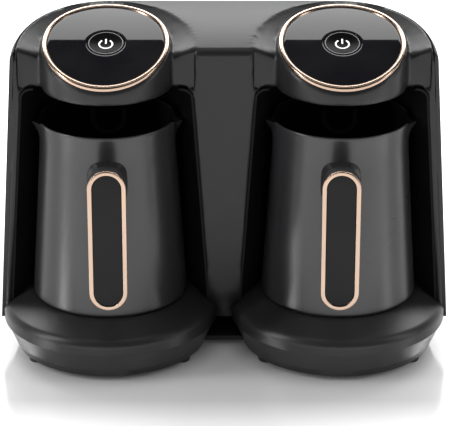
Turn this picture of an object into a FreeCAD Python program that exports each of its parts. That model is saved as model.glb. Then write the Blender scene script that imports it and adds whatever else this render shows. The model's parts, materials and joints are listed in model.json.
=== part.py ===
import FreeCAD, Part
import math
import os
import Sketcher
from FreeCAD import Placement, Rotation, Vector

# Twin coffee maker. X runs across both units, Y to the back, Z up from the floor.
# Each unit is drawn about its own brewing axis; negative Y is the side that faces the user.

DRIVING = [
    ("unit_x", 76.85, "middle plane to each brewing axis"),
    ("front_plane", 8.0, "front frame, ahead of the brewing axes"),
    ("shell_high_z", 240.0, "height at which the shell taper is given"),
    ("shell_low_rad", 73.8, "plan radius of the shell at its lower edge"),
    ("shell_high_rad", 60.0, "plan radius of the shell at shell_high_z"),
    ("shell_wall", 2.5, "rear shell wall"),
    ("frame_wall", 2.5, "front housing wall"),
    ("crown_radius", 322.0, "radius of the arched top, across Y"),
    ("crown_tilt", 20.9, "slope of the arched top at the brewing axis, degrees"),
    ("crown_z", 214.6, "height of the ring's top at the brewing axis"),
    ("crown_fillet", 6.0, "rounding along the top edge"),
    ("ring_proud", 1.2, "how far the trim ring stands above the housing"),
    ("barrel_rad", 42.8, "head barrel"),
    ("barrel_wall", 6.3, "head barrel wall with its ledge"),
    ("head_low_z", 184.4, "underside of the head"),
    ("barrel_fillet", 4.0, "rounding where the barrel leaves the front plane"),
    ("dish_rad", 57.7, "plan radius of the shoulder recess"),
    ("dish_depth", 5.0, "depth of the shoulder recess beside the barrel"),
    ("dish_tilt", 17.2, "tilt of the shoulder recess, degrees"),
    ("shoulder_step", 2.0, "shoulder wall behind the front plane"),
    ("bay_low_half", 68.0, "half width of the bay mouth at the lower edge"),
    ("bay_high_half", 56.5, "half width of the bay mouth at its top"),
    ("bay_low_rad", 56.0, "bay wall radius at the lower edge"),
    ("bay_high_rad", 50.6, "bay wall radius at its top"),
    ("bay_mouth_angle", 14.0, "where the flared mouth meets the bay wall, degrees"),
    ("bay_corner", 8.0, "rounded upper corners of the bay mouth"),
    ("liner_wall", 1.4, "bay liner"),
    ("ring_rad", 41.3, "trim ring outer radius"),
    ("ring_width", 3.3, "trim ring width"),
    ("ring_deep", 3.5, "trim ring height"),
    ("panel_drop", 0.8, "panel surface below the ring's top"),
    ("panel_gap", 0.15, "gap round the panel"),
    ("button_rad", 12.25, "power button"),
    ("button_gap", 0.3, "gap round the power button"),
    ("button_y", -0.5, "button centre on the panel"),
    ("button_dish", 1.1, "hollow of the button's face"),
    ("button_deep", 3.0, "thickness of the button cap"),
    ("button_travel", 0.8, "button travel"),
    ("stem_rad", 1.75, "button stem"),
    ("stem_gap", 0.3, "gap round the button stem"),
    ("board_drop", 10.0, "control board below the panel's surface"),
    ("board_rad", 30.0, "control board"),
    ("board_thick", 1.6, "circuit board thickness"),
    ("switch_side", 6.2, "tact switch"),
    ("switch_tall", 3.6, "tact switch height"),
    ("post_rad", 2.2, "board post"),
    ("post_circle", 23.0, "board posts from the button's axis"),
    ("plate_thick", 2.6, "head underside plate"),
    ("plate_gap", 0.2, "gap round the head underside plate"),
    ("lens_rad", 3.2, "sensor lens"),
    ("lens_y", -20.0, "sensor lens ahead of the brewing axis"),
    ("lens_proud", 1.3, "sensor lens below the plate"),
    ("base_rad", 72.3, "round base"),
    ("base_foot_rad", 63.8, "round base at its lower edge"),
    ("base_low_z", 4.0, "underside of the base"),
    ("base_seam_z", 21.6, "top of the chassis, where the housing and the base tops begin"),
    ("base_edge_z", 29.2, "upper edge of the base's side"),
    ("base_edge", 2.8, "rounding of the base's edge"),
    ("chassis_wall", 3.0, "chassis wall"),
    ("cover_wall", 2.4, "base top wall"),
    ("seat_z", 40.0, "flat on which the pot stands"),
    ("seat_rad", 52.8, "radius of that flat"),
    ("fit_gap", 0.3, "gap round fixed pieces"),
    ("pot_gap", 0.3, "pot above its seat"),
    ("connector_rad", 17.0, "connector body"),
    ("contact_rad", 13.0, "contact boss"),
    ("contact_tall", 6.5, "contact boss above the seat"),
    ("contact_gap", 0.6, "gap round the contact boss"),
    ("foot_rad", 5.5, "rubber foot"),
    ("foot_x", 48.5, "front feet from each brewing axis"),
    ("foot_y", -30.5, "front feet from the brewing axis"),
    ("rear_foot_x", 92.0, "rear feet from the middle plane"),
    ("rear_foot_y", 34.0, "rear feet behind the brewing axes"),
    ("pot_low_rad", 51.6, "pot near its lower edge"),
    ("pot_neck_rad", 44.7, "pot where the spouts begin"),
    ("pot_rim_rad", 45.5, "pot rim"),
    ("pot_wall", 1.4, "pot wall"),
    ("pot_tall", 123.4, "pot height"),
    ("pot_neck_drop", 16.0, "where the spouts begin, below the rim"),
    ("pot_floor", 12.0, "pot floor above its lower edge"),
    ("spout_reach", 50.4, "spout tip from the pot's axis"),
    ("spout_drop", 26.0, "height of a spout"),
    ("spout_half", 13.0, "half width of a spout at the rim"),
    ("spout_dip", 3.6, "spout tip below the rim"),
    ("pot_lift", 10.0, "straight lift of the pot off its connector"),
    ("pot_turn", 2.0, "how far each pot is turned towards the middle, degrees"),
    ("heater_thick", 2.2, "heater plate"),
    ("mark_half", 12.0, "half width of the level mark"),
    ("mark_drop", 10.0, "top of the level mark below the rim"),
    ("mark_tall", 20.0, "height of the level mark"),
    ("mark_line", 3.0, "width of the level mark's bead"),
    ("mark_proud", 1.4, "how far the bead stands off the wall"),
    ("handle_front", 78.0, "front of the handle from the pot's axis"),
    ("handle_half", 12.3, "half width of the handle"),
    ("handle_low_z", 57.8, "lower end of the handle"),
    ("handle_tall", 95.8, "height of the handle"),
    ("handle_thick", 12.0, "thickness of the handle"),
    ("handle_back_edge", 3.5, "rounding of the handle's back"),
    ("trim_line", 3.3, "width of the handle's frame"),
    ("trim_deep", 2.4, "thickness of the handle's frame"),
    ("inlay_drop", 0.6, "inlay below the frame"),
    ("inlay_gap", 0.1, "gap round the inlay"),
    ("neck_half", 8.0, "half width of the handle's neck at the handle"),
    ("neck_flare", 13.0, "half width of the neck at the pot"),
    ("neck_drop", 9.0, "top of the neck below the handle's top"),
    ("neck_tall", 24.0, "height of the neck"),
    ("hatch_half", 42.0, "half width of the rear cover"),
    ("hatch_low_z", 52.0, "lower edge of the rear cover"),
    ("hatch_tall", 132.0, "height of the rear cover"),
    ("hatch_gap", 0.25, "gap round the rear cover"),
    ("vent_count", 7, "vent slots in the rear cover"),
    ("vent_pitch", 6.0, "vent slot spacing"),
    ("vent_tall", 2.4, "vent slot height"),
    ("vent_half", 24.0, "half length of a vent slot"),
    ("vent_low_z", 128.0, "lowest vent slot"),
    ("board_y", 49.0, "power board behind the brewing axes"),
    ("board_half", 26.0, "half width of the power board"),
    ("board_low_z", 60.0, "lower edge of the power board"),
    ("board_tall", 60.0, "height of the power board"),
    ("gland_rad", 6.5, "cord gland"),
    ("gland_bore", 3.3, "bore of the cord gland"),
    ("gland_z", 36.0, "height of the cord gland"),
    ("gland_proud", 2.5, "cord gland behind the shell"),
    ("gland_long", 12.0, "length of the cord gland"),
]

doc = FreeCAD.newDocument("twin_coffee_maker")
sheet = doc.addObject("Spreadsheet::Sheet", "Sizes")
for row, (alias, number, meaning) in enumerate(DRIVING, 1):
    sheet.set(f"A{row}", meaning)
    sheet.set(f"B{row}", str(number))
    sheet.setAlias(f"B{row}", alias)
doc.recompute()


class Term:
    """A length as a number and as the sheet expression that keeps it."""

    def __init__(self, number, text):
        self.number = float(number)
        self.text = text

    def __add__(self, other):
        other = term(other)
        return Term(self.number + other.number, f"({self.text} + {other.text})")

    def __sub__(self, other):
        other = term(other)
        return Term(self.number - other.number, f"({self.text} - {other.text})")

    def __mul__(self, other):
        other = term(other)
        return Term(self.number * other.number, f"({self.text} * {other.text})")

    def __truediv__(self, other):
        other = term(other)
        return Term(self.number / other.number, f"({self.text} / {other.text})")

    def __neg__(self):
        return Term(-self.number, f"(0 - {self.text})")

    def __radd__(self, other):
        return term(other) + self

    def __rsub__(self, other):
        return term(other) - self

    def __rmul__(self, other):
        return term(other) * self


def term(value):
    return value if isinstance(value, Term) else Term(value, repr(float(value)))


def root(value):
    return Term(math.sqrt(value.number), f"sqrt({value.text})")


def sine(value):
    return Term(math.sin(math.radians(value.number)), f"sin({value.text} * 1deg)")


def cosine(value):
    return Term(math.cos(math.radians(value.number)), f"cos({value.text} * 1deg)")


class Sizes:
    def __getattr__(self, alias):
        return Term(sheet.get(alias), f"Sizes.{alias}")


d = Sizes()
ZERO = term(0)


def bind(thing, prop, value):
    thing.setExpression(prop, term(value).text)


def put(thing, x=0, y=0, z=0, axis=None, angle=0):
    """Place an object, with every coordinate bound to the sheet."""
    x, y, z, angle = term(x), term(y), term(z), term(angle)
    turn = Rotation(Vector(*axis), angle.number) if axis else Rotation()
    thing.Placement = Placement(Vector(x.number, y.number, z.number), turn)
    if axis:
        bind(thing, "Placement.Rotation.Angle", angle)
    for name, value in (("x", x), ("y", y), ("z", z)):
        bind(thing, f"Placement.Base.{name}", value)
    return thing


class Arc:
    """Marks that the next edge of an outline is an arc: its radius and the side it bulges to."""

    def __init__(self, radius, left=False):
        self.radius = term(radius)
        self.left = left


def draw(sketch, items):
    """Closed outline of points, with an Arc before a point where the edge to it is round."""
    points, kinds = [], []
    pending = None
    for item in items:
        if isinstance(item, Arc):
            pending = item
        else:
            points.append((term(item[0]), term(item[1])))
            kinds.append(pending)
            pending = None
    closing = pending
    count = len(points)
    places = [Vector(px.number, py.number, 0) for px, py in points]
    first = sketch.GeometryCount
    ends = []
    for index in range(count):
        following = (index + 1) % count
        kind = kinds[following] if following else closing
        start, end = places[index], places[following]
        if kind is None:
            sketch.addGeometry(Part.LineSegment(start, end), False)
            ends.append((1, 2))
            continue
        along = end - start
        side = Vector(-along.y, along.x, 0).normalize()
        half = along.Length / 2
        radius = kind.radius.number
        sagitta = radius - math.sqrt(max(radius * radius - half * half, 0.0))
        top = (start + end) * 0.5 + side * (sagitta if kind.left else -sagitta)
        sketch.addGeometry(Part.Arc(start, top, end), False)
        placed = sketch.Geometry[first + index]
        ends.append((1, 2) if placed.StartPoint.distanceToPoint(start) < 1e-4 else (2, 1))
        number = sketch.addConstraint(Sketcher.Constraint("Radius", first + index, radius))
        sketch.setExpression(f"Constraints[{number}]", kind.radius.text)
    for index in range(count):
        following = (index + 1) % count
        sketch.addConstraint(Sketcher.Constraint(
            "Coincident", first + index, ends[index][1], first + following, ends[following][0]))
    for index, (px, py) in enumerate(points):
        for value, kind, axis in ((px, "DistanceX", -2), (py, "DistanceY", -1)):
            if value.text == ZERO.text:
                sketch.addConstraint(Sketcher.Constraint("PointOnObject", first + index, ends[index][0], axis))
                continue
            number = sketch.addConstraint(Sketcher.Constraint(
                kind, -1, 1, first + index, ends[index][0], value.number))
            sketch.setExpression(f"Constraints[{number}]", value.text)
    return sketch


def draw_circle(sketch, x, y, radius):
    x, y, radius = term(x), term(y), term(radius)
    index = sketch.GeometryCount
    sketch.addGeometry(Part.Circle(Vector(x.number, y.number, 0), Vector(0, 0, 1), radius.number), False)
    number = sketch.addConstraint(Sketcher.Constraint("Radius", index, radius.number))
    sketch.setExpression(f"Constraints[{number}]", radius.text)
    for value, kind, axis in ((x, "DistanceX", -2), (y, "DistanceY", -1)):
        if value.text == ZERO.text:
            sketch.addConstraint(Sketcher.Constraint("PointOnObject", index, 3, axis))
            continue
        number = sketch.addConstraint(Sketcher.Constraint(kind, -1, 1, index, 3, value.number))
        sketch.setExpression(f"Constraints[{number}]", value.text)
    return sketch


def new_body(name):
    body = doc.addObject("PartDesign::Body", name)
    body.Label = name
    return body


def body_sketch(body, name, role, height=0):
    """Sketch on one of the body's own planes, lifted along that plane's normal."""
    height = term(height)
    plane = [feature for feature in body.Origin.OriginFeatures if feature.Role == role][0]
    sketch = body.newObject("Sketcher::SketchObject", name)
    sketch.AttachmentSupport = (plane, [""])
    sketch.MapMode = "FlatFace"
    sketch.AttachmentOffset = Placement(Vector(0, 0, height.number), Rotation())
    bind(sketch, "AttachmentOffset.Base.z", height)
    return sketch


def free_sketch(name, x=0, y=0, z=0, axis=None, angle=0):
    return put(doc.addObject("Sketcher::SketchObject", name), x, y, z, axis, angle)


def revolve(body, name, items, kind="PartDesign::Revolution"):
    sketch = draw(body_sketch(body, name + "_profile", "XZ_Plane"), items)
    turned = body.newObject(kind, name)
    turned.Profile = sketch
    turned.ReferenceAxis = (sketch, ["V_Axis"])
    turned.Angle = 360
    return turned


def pad(body, name, sketch, length, kind="PartDesign::Pad", backwards=False):
    feature = body.newObject(kind, name)
    feature.Profile = sketch
    bind(feature, "Length", length)
    feature.Reversed = backwards
    return feature


def loft(body, name, sketches, kind="PartDesign::AdditiveLoft"):
    feature = body.newObject(kind, name)
    feature.Profile = sketches[0]
    feature.Sections = sketches[1:]
    feature.Ruled = True
    return feature


def turned_body(name, items):
    body = new_body(name)
    revolve(body, name + "_turned", items)
    return body


def cut(name, base, tool):
    result = doc.addObject("Part::Cut", name)
    result.Label = name
    result.Base = base
    result.Tool = tool
    result.Refine = True
    return result


def fuse(name, shapes):
    result = doc.addObject("Part::MultiFuse", name)
    result.Label = name
    result.Shapes = shapes
    result.Refine = True
    return result


def common(name, first, second):
    result = doc.addObject("Part::MultiCommon", name)
    result.Label = name
    result.Shapes = [first, second]
    return result


def cylinder(name, radius, height, x=0, y=0, z=0, axis=None, angle=0):
    tube = doc.addObject("Part::Cylinder", name)
    bind(tube, "Radius", radius)
    bind(tube, "Height", height)
    return put(tube, x, y, z, axis, angle)


def box(name, length, width, height, x, y, z):
    block = doc.addObject("Part::Box", name)
    bind(block, "Length", length)
    bind(block, "Width", width)
    bind(block, "Height", height)
    return put(block, x, y, z)


def placed_copy(name, source, x=0, y=0, z=0, axis=None, angle=0):
    """The same shape at another place, by a link-free compound of one."""
    holder = doc.addObject("Part::Compound", name)
    holder.Links = [source]
    return put(holder, x, y, z, axis, angle)


def tell(stage):
    doc.recompute()
    print(stage)


SIDES = (("left", -1), ("right", 1))
nodes = []


def keep(thing, label):
    thing.Label = label
    nodes.append(thing)
    return thing


# Values that follow from the sizes.
shell_slope = (d.shell_low_rad - d.shell_high_rad) / (d.shell_high_z - d.base_seam_z)
bay_slope = (d.bay_low_half - d.bay_high_half) / (d.head_low_z - d.base_seam_z)
bay_rad_slope = (d.bay_low_rad - d.bay_high_rad) / (d.head_low_z - d.base_seam_z)
total_half = d.unit_x + d.shell_low_rad + 10
pot_z = d.seat_z + d.pot_gap
rim_z = pot_z + d.pot_tall
neck_z = rim_z - d.pot_neck_drop
pot_slope = (d.pot_low_rad - d.pot_neck_rad) / (neck_z - pot_z - 4)
gland_end = d.shell_low_rad - shell_slope * (d.gland_z - d.base_seam_z) - d.front_plane + d.gland_proud
front_end = d.handle_front * cosine(d.pot_turn) + d.handle_half * sine(d.pot_turn)
axis_y = (front_end - gland_end) * 0.5


def shell_rad(z):
    return d.shell_low_rad - shell_slope * (z - d.base_seam_z)


def crown(name, inset):
    """Solid cylinder across the machine whose upper side is the arched top, lowered by inset."""
    return cylinder(name, d.crown_radius - inset, total_half * 2, -total_half, d.crown_radius * sine(d.crown_tilt),
                    d.crown_z - d.crown_radius * cosine(d.crown_tilt), (0, 1, 0), 90)


def stadium(sketch, radius):
    """Plan of the housing: a straight front plane and back, round ends."""
    side = d.unit_x + radius
    back = radius - d.front_plane
    return draw(sketch, [
        (-side, -d.front_plane), (side, -d.front_plane), Arc(radius), (d.unit_x, back),
        (-d.unit_x, back), Arc(radius)])


def shell_form(name, inset):
    body = new_body(name)
    low = stadium(body_sketch(body, name + "_low", "XY_Plane", d.base_seam_z), d.shell_low_rad - inset)
    high = stadium(body_sketch(body, name + "_high", "XY_Plane", d.shell_high_z), d.shell_high_rad - inset)
    loft(body, name + "_loft", [low, high])
    return body


def bay_plan(sketch, half, radius):
    inner_x = radius * cosine(d.bay_mouth_angle)
    inner_y = radius * sine(d.bay_mouth_angle)
    ahead = -(d.base_rad + 10)
    return draw(sketch, [
        (-half, ahead), (half, ahead), (half, -d.front_plane), (inner_x, inner_y),
        Arc(radius), (ZERO, radius), Arc(radius), (-inner_x, inner_y), (-half, -d.front_plane)])


def bay_form(name, inset, low_z, high_z):
    """The space of one bay about its brewing axis, narrowed by inset on its walls and ceiling."""
    body = new_body(name + "_plan")
    sketches = []
    for tag, z in (("low", low_z), ("high", high_z)):
        half = d.bay_low_half - bay_slope * (z - d.base_seam_z) - inset
        radius = d.bay_low_rad - bay_rad_slope * (z - d.base_seam_z) - inset
        sketches.append(bay_plan(body_sketch(body, f"{name}_{tag}", "XY_Plane", z), half, radius))
    loft(body, name + "_loft", sketches)
    front = new_body(name + "_front")
    low_half = d.bay_low_half - bay_slope * (low_z - d.base_seam_z) - inset
    high_half = d.bay_low_half - bay_slope * (high_z - d.base_seam_z) - inset
    corner = d.bay_corner - inset
    slope_part = corner * bay_slope
    face = draw(body_sketch(front, name + "_face", "XZ_Plane", -(d.bay_low_rad + 10)), [
        (-low_half, low_z), (low_half, low_z), (high_half + slope_part, high_z - corner),
        Arc(corner), (high_half - corner, high_z), (corner - high_half, high_z),
        Arc(corner), (-high_half - slope_part, high_z - corner)])
    pad(front, name + "_through", face, d.bay_low_rad + d.base_rad + 30)
    return common(name, body, front)


tell("sizes read")


def round_edges(name, base, chosen, radius):
    """Rounding on the edges of base that chosen picks; the radius is read from the sheet."""
    doc.recompute()
    feature = doc.addObject("Part::Fillet", name)
    feature.Base = base
    feature.Edges = [(number, radius.number, radius.number)
                     for number, edge in enumerate(base.Shape.Edges, 1) if chosen(edge)]
    return feature


# Housing: one outer form, split into the rear shell, its cover and the front housing.
outer_block = common("outer_block", shell_form("outer_loft", ZERO), crown("outer_crown", d.ring_proud))
doc.recompute()
crown_face = max((face for face in outer_block.Shape.Faces
                  if face.Surface.TypeId == "Part::GeomCylinder"), key=lambda face: face.Surface.Radius)
outer = round_edges("outer_form", outer_block,
                    lambda edge: any(edge.isSame(rim) for rim in crown_face.Edges), d.crown_fillet)
inner = shell_form("inner_loft", d.shell_wall)
tell("outer form")

hatch_box = box("hatch_box", d.hatch_half * 2, d.shell_low_rad, d.hatch_tall,
                -d.hatch_half, d.board_y, d.hatch_low_z)
hatch_hole = box("hatch_hole", (d.hatch_half + d.hatch_gap) * 2, d.shell_low_rad, d.hatch_tall + d.hatch_gap * 2,
                 -d.hatch_half - d.hatch_gap, d.board_y, d.hatch_low_z - d.hatch_gap)
gland_hole = cylinder("gland_hole", d.gland_rad + d.fit_gap, d.gland_long * 3, 0, gland_end - d.gland_long * 2,
                      d.gland_z, (1, 0, 0), -90)
wrap = cut("wrap", outer, inner)
rear_shell = keep(cut("rear_shell", wrap, fuse("rear_holes", [hatch_hole, gland_hole])), "rear_shell")

vents = []
for index in range(int(d.vent_count.number)):
    vents.append(box(f"vent_{index + 1}", d.vent_half * 2, d.shell_low_rad, d.vent_tall,
                     -d.vent_half, d.board_y + d.board_thick, d.vent_low_z + d.vent_pitch * index))
posts = []
post_x = d.board_half - d.post_rad * 2
for index, (side, height) in enumerate(((-1, 0), (1, 0), (-1, 1), (1, 1))):
    z = d.board_low_z + d.post_rad * 2 + (d.board_tall - d.post_rad * 4) * height
    posts.append(cylinder(f"board_post_{index + 1}", d.post_rad, d.shell_low_rad, post_x * side,
                          d.board_y + d.board_thick, z, (1, 0, 0), -90))
post_block = common("post_block", fuse("post_set", posts), inner)
hatch_plate = common("hatch_plate", cut("hatch_wall", outer, inner), hatch_box)
hatch_solid = cut("hatch_vented", hatch_plate, fuse("vent_set", vents))
rear_cover = keep(fuse("rear_cover", [hatch_solid, post_block]), "rear_cover")
power_board = keep(box("power_board", d.board_half * 2, d.board_thick, d.board_tall,
                       -d.board_half, d.board_y, d.board_low_z), "power_board")
tell("rear shell and cover")

gland_body = new_body("cord_gland")
flange = draw_circle(body_sketch(gland_body, "gland_ring", "XZ_Plane", -gland_end), 0, d.gland_z, d.gland_rad)
pad(gland_body, "gland_pad", flange, d.gland_long)
gland_eye = draw_circle(body_sketch(gland_body, "gland_eye", "XZ_Plane", -gland_end), 0, d.gland_z, d.gland_bore)
pad(gland_body, "gland_bore_cut", gland_eye, d.gland_long * 2, "PartDesign::Pocket", True)
keep(gland_body, "cord_gland")

# Front housing: the block inside the shell, the two head barrels, then every space cut from it.
front_block = common("front_block", outer, inner)
dish_tools, bays, bay_shells, barrels, barrel_walls = [], [], [], [], []
cavities, seats, steps, dish_walls = [], [], [], []
ring_seat = d.ring_rad + d.panel_gap
ledge_rad = d.barrel_rad - d.barrel_wall
dish_z = d.crown_z - d.ring_proud - d.front_plane * sine(d.crown_tilt) / cosine(d.crown_tilt)
bay = bay_form("bay", ZERO, d.base_seam_z - 1, d.head_low_z)
bay_backing = bay_form("bay_backing", -d.frame_wall, d.base_seam_z - 1, d.head_low_z + d.frame_wall)
dish = turned_body("dish", [
    (ZERO, -d.dish_depth), (d.barrel_rad - 1, -d.dish_depth), (d.dish_rad, ZERO),
    (d.dish_rad, d.dish_depth * 4), (ZERO, d.dish_depth * 4)])
dish_backing = turned_body("dish_backing", [
    (ZERO, -d.dish_depth - d.frame_wall), (d.barrel_rad, -d.dish_depth - d.frame_wall),
    (d.dish_rad + d.frame_wall, -d.frame_wall), (d.dish_rad + d.frame_wall, d.dish_depth * 4), (ZERO, d.dish_depth * 4)])
tell("housing tools")
barrel_tall = d.shell_high_z - d.head_low_z
for side, sign in SIDES:
    x = d.unit_x * sign
    barrels.append(cylinder(f"barrel_{side}", d.barrel_rad, barrel_tall, x, 0, d.head_low_z))
    barrel_walls.append(cylinder(f"barrel_wall_{side}", d.barrel_rad, barrel_tall, x, 0, d.head_low_z))
    cavities.append(cylinder(f"head_cavity_{side}", ledge_rad, barrel_tall + 2, x, 0, d.head_low_z - 1))
    seats.append(cylinder(f"ring_seat_{side}", ring_seat, barrel_tall, x, 0, d.head_low_z))
    bays.append(placed_copy(f"bay_{side}", bay, x))
    bay_shells.append(placed_copy(f"bay_backing_{side}", bay_backing, x))
    dish_tools.append(placed_copy(f"dish_{side}", dish, x, -d.front_plane, dish_z, (1, 0, 0), d.dish_tilt))
    dish_walls.append(placed_copy(f"dish_backing_{side}", dish_backing, x, -d.front_plane, dish_z,
                                  (1, 0, 0), d.dish_tilt))
    steps.append(box(f"shoulder_step_{side}", d.dish_rad * 2, d.shoulder_step * 2, barrel_tall,
                     x - d.dish_rad, -d.front_plane - d.shoulder_step, d.head_low_z - 1))

barrel_block = common("barrel_block", fuse("barrel_set", barrels), crown("barrel_crown", d.ring_proud))
shoulders = cut("shoulders", front_block, fuse("shoulder_cuts", dish_tools + steps))
joined = fuse("housing_block", [shoulders, barrel_block])
tell("housing block")
wall_y = d.shoulder_step - d.front_plane
meet_x = root(d.barrel_rad * d.barrel_rad - wall_y * wall_y)


def at_barrel(edge):
    box_ = edge.BoundBox
    upright = box_.XLength < 0.01 and box_.YLength < 0.01 and box_.ZLength > 5
    aside = abs(abs(abs(box_.Center.x) - d.unit_x.number) - meet_x.number) < 0.5
    return upright and aside and abs(box_.Center.y - wall_y.number) < 0.5


rounded = round_edges("housing_rounded", joined, at_barrel, d.barrel_fillet)
tell(f"barrel roundings {len(rounded.Edges)}")
hollow_box = box("hollow_box", d.unit_x * 2, d.shell_low_rad * 2, barrel_tall * 10,
                 -d.unit_x, d.frame_wall - d.front_plane, d.chassis_wall + d.base_seam_z)
hollow_crown = common("hollow_crown", hollow_box, crown("inside_crown", d.ring_proud + d.frame_wall * 2))
hollow = cut("hollow", hollow_crown, fuse("hollow_keep", bay_shells + barrel_walls + dish_walls))
ring_spaces = cut("ring_spaces", fuse("ring_seat_set", seats), crown("ledge_crown", d.ring_deep))
tools = fuse("housing_spaces", bays + cavities + [ring_spaces])
front_a = cut("front_cut", rounded, tools)
front_housing = keep(cut("front_housing", front_a, hollow), "front_housing")
tell("front housing")

# Base: a tray with a lobe under each unit, and a round cover on each lobe.
base_slope = (d.base_rad - 1 - d.base_foot_rad) / (d.base_seam_z - d.base_low_z)


def chassis_form(name, inset, low_z, high_z):
    body = new_body(name + "_back")
    lows = stadium(body_sketch(body, name + "_low", "XY_Plane", low_z),
                   d.base_foot_rad + base_slope * (low_z - d.base_low_z) - inset)
    highs = stadium(body_sketch(body, name + "_high", "XY_Plane", high_z),
                    d.base_foot_rad + base_slope * (high_z - d.base_low_z) - inset)
    loft(body, name + "_loft", [lows, highs])
    shapes = [body]
    for side, sign in SIDES:
        lobe = doc.addObject("Part::Cone", f"{name}_lobe_{side}")
        bind(lobe, "Radius1", d.base_foot_rad + base_slope * (low_z - d.base_low_z) - inset)
        bind(lobe, "Radius2", d.base_foot_rad + base_slope * (high_z - d.base_low_z) - inset)
        bind(lobe, "Height", high_z - low_z)
        lobe.Angle = 180
        shapes.append(put(lobe, d.unit_x * sign, 0, low_z, (0, 0, 1), 180))
    return fuse(name, shapes)


chassis_skin = chassis_form("chassis_skin", ZERO, d.base_low_z, d.base_seam_z)
chassis_room = chassis_form("chassis_room", d.chassis_wall, d.base_low_z + d.chassis_wall, d.base_seam_z + 1)
keep(cut("base_chassis", chassis_skin, chassis_room), "base_chassis")
tell("chassis")

rim_in = d.base_rad - d.cover_wall
cover_turned = turned_body("cover_turned", [
    (d.connector_rad + 2, d.seat_z - d.cover_wall), (d.connector_rad + 2, d.seat_z), (d.seat_rad, d.seat_z),
    (d.base_rad - d.base_edge, d.base_edge_z + d.base_edge), Arc(d.base_edge), (d.base_rad, d.base_edge_z),
    (d.base_rad, d.base_seam_z + 0.2), (rim_in, d.base_seam_z + 0.2),
    (rim_in, d.base_edge_z), (d.seat_rad - 1, d.seat_z - d.cover_wall)])
cover_room = fuse("cover_room", [
    box("cover_front", d.base_rad * 2 + 2, d.base_rad + 10, d.seat_z, -d.base_rad - 1,
        -d.front_plane - d.fit_gap - d.base_rad - 10, 1),
    bay_form("cover_bay", d.liner_wall + d.fit_gap, d.base_seam_z, d.seat_z + 1)])
cover_shape = common("cover_shape", cover_turned, cover_room)
liner_low = d.seat_z + 0.3
liner_out = bay_form("liner_out", 0.05, d.base_seam_z + 1, d.head_low_z - 0.05)
liner_in = bay_form("liner_in", d.liner_wall, d.base_seam_z, d.head_low_z - d.liner_wall)
liner_front = box("liner_front", d.base_rad * 3, d.base_rad * 2, d.shell_high_z, -d.base_rad * 1.5,
                  0.5 - d.front_plane - d.base_rad * 2, 0)
liner_skin = cut("liner_skin", liner_out, liner_in)
liner_shape = cut("liner_shape", liner_skin, fuse("liner_cuts", [
    liner_front, cylinder("liner_eye", d.barrel_rad + d.barrel_fillet + 1, d.shell_high_z, 0, 0, d.pot_tall)]))
connector = turned_body("connector", [
    (ZERO, d.base_low_z + d.chassis_wall), (d.connector_rad, d.base_low_z + d.chassis_wall),
    (d.connector_rad, d.seat_z - 4), (d.connector_rad + 1.6, d.seat_z - 3), (d.connector_rad + 1.6, d.seat_z),
    (d.contact_rad, d.seat_z), (d.contact_rad, d.seat_z + d.contact_tall - 1),
    (d.contact_rad - 1, d.seat_z + d.contact_tall), (d.contact_rad / 3, d.seat_z + d.contact_tall),
    (d.contact_rad / 3, d.seat_z + 2), (ZERO, d.seat_z + 2)])
tell("base pieces")

# Head: ring and panel follow the arched top.
ring_tube = cut("ring_tube", cylinder("ring_outer", d.ring_rad, barrel_tall, 0, 0, d.head_low_z),
                cylinder("ring_inner", d.ring_rad - d.ring_width, barrel_tall + 2, 0, 0, d.head_low_z - 1))
ring_slab = cut("ring_slab", crown("ring_top", ZERO), crown("ring_under", d.ring_deep))
ring_shape = common("ring_shape", ring_tube, ring_slab)
panel_rad = d.ring_rad - d.ring_width - d.panel_gap
panel_disc = common("panel_disc", cylinder("panel_outer", panel_rad, barrel_tall, 0, 0, d.head_low_z),
                    cut("panel_slab", crown("panel_top", d.panel_drop), crown("panel_under", d.ring_deep)))
button_z = (d.crown_z + d.button_y * sine(d.crown_tilt) / cosine(d.crown_tilt)
            - d.panel_drop / cosine(d.crown_tilt))
tilt_axis = (1, 0, 0)


def on_panel(name, source, x=0):
    return placed_copy(name, source, x, d.button_y, button_z, tilt_axis, d.crown_tilt)


def panel_tube(name, radius, height, x, y, z):
    """Cylinder square to the panel; its foot is given about the button's centre."""
    y, z = term(y), term(z)
    return cylinder(name, radius, height, x, d.button_y + y * cosine(d.crown_tilt) - z * sine(d.crown_tilt),
                    button_z + y * sine(d.crown_tilt) + z * cosine(d.crown_tilt), tilt_axis, d.crown_tilt)


post_places = [(-d.post_circle * 0.866, -d.post_circle * 0.5), (d.post_circle * 0.866, -d.post_circle * 0.5),
               (ZERO, d.post_circle)]
panel_thick = d.ring_deep - d.panel_drop
panel_posts = [panel_tube(f"panel_post_{index + 1}", d.post_rad, d.board_drop - panel_thick * 0.5, x, y,
                          -d.board_drop) for index, (x, y) in enumerate(post_places)]
panel_shape = cut("panel_shape", fuse("panel_and_posts", [panel_disc] + panel_posts),
                  panel_tube("panel_eye", d.button_rad + d.button_gap, d.board_drop, 0, 0, -panel_thick * 2))
cap = turned_body("cap", [
    (ZERO, -d.board_drop + 2.2), (d.stem_rad, -d.board_drop + 2.2), (d.stem_rad, -d.button_deep - 1.2),
    (d.button_rad + 1, -d.button_deep - 1.2), (d.button_rad + 1, -d.button_deep - 0.4),
    (d.button_rad, -d.button_deep - 0.4), (d.button_rad, -0.9), (d.button_rad - 0.6, -0.3),
    (d.button_rad - 1.6, -0.3), (ZERO, -d.button_dish - 0.3)])
board_shape = cylinder("board_shape", d.board_rad, d.board_thick, 0, 0, -d.board_drop - d.board_thick)
switch_base = box("switch_base", d.switch_side, d.switch_side, d.switch_tall, -d.switch_side / 2,
                  -d.switch_side / 2, -d.board_drop)
switch_shape = cut("switch_shape", switch_base, cylinder(
    "switch_bore", d.stem_rad + d.stem_gap, d.switch_tall, 0, 0, -d.board_drop + 2.2 - d.button_travel * 1.5))
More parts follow.
